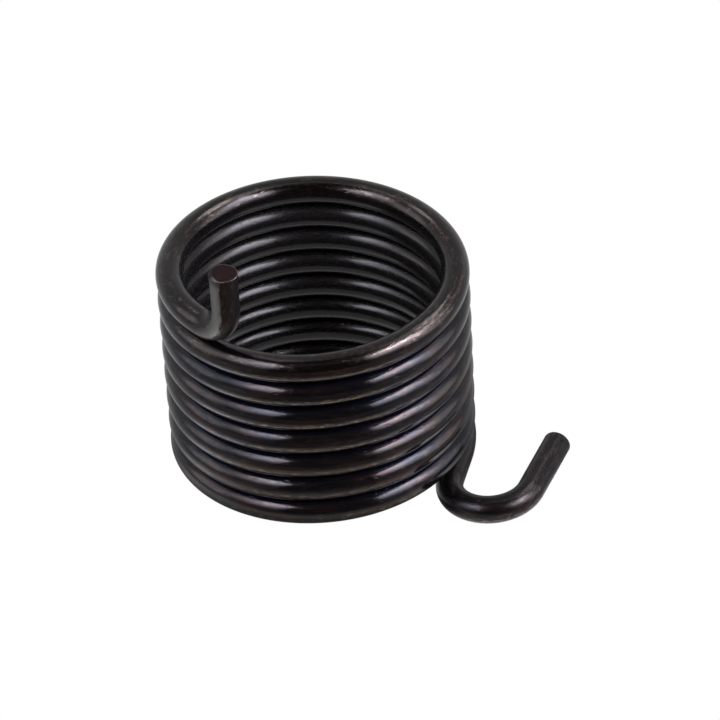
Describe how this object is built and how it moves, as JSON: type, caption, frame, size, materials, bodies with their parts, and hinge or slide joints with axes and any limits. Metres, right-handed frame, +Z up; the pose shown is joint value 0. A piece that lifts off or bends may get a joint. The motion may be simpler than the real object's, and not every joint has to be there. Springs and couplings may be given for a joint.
{
  "type": "torsion spring",
  "caption": "Close-wound helical torsion spring of round steel wire with an upturned tang at one end and a U-shaped hook beside the coil at the other.",
  "frame": {"origin": "on the coil's axis, level with the underside of the wire where the lowest turn runs out into the hook", "axes": "+Z up the coil's axis, from the hook to the tang; +X from the axis to where the hook leaves the coil; the wire climbs anticlockwise seen from +Z"},
  "size_m": [0.0436, 0.0338, 0.0347],
  "materials": {
    "spring_wire": "brown-black oil-tempered spring steel, satin to glossy"
  },
  "bodies": {
    "root": {"torsion_spring": "spring_wire"}
  },
  "joints": []
}
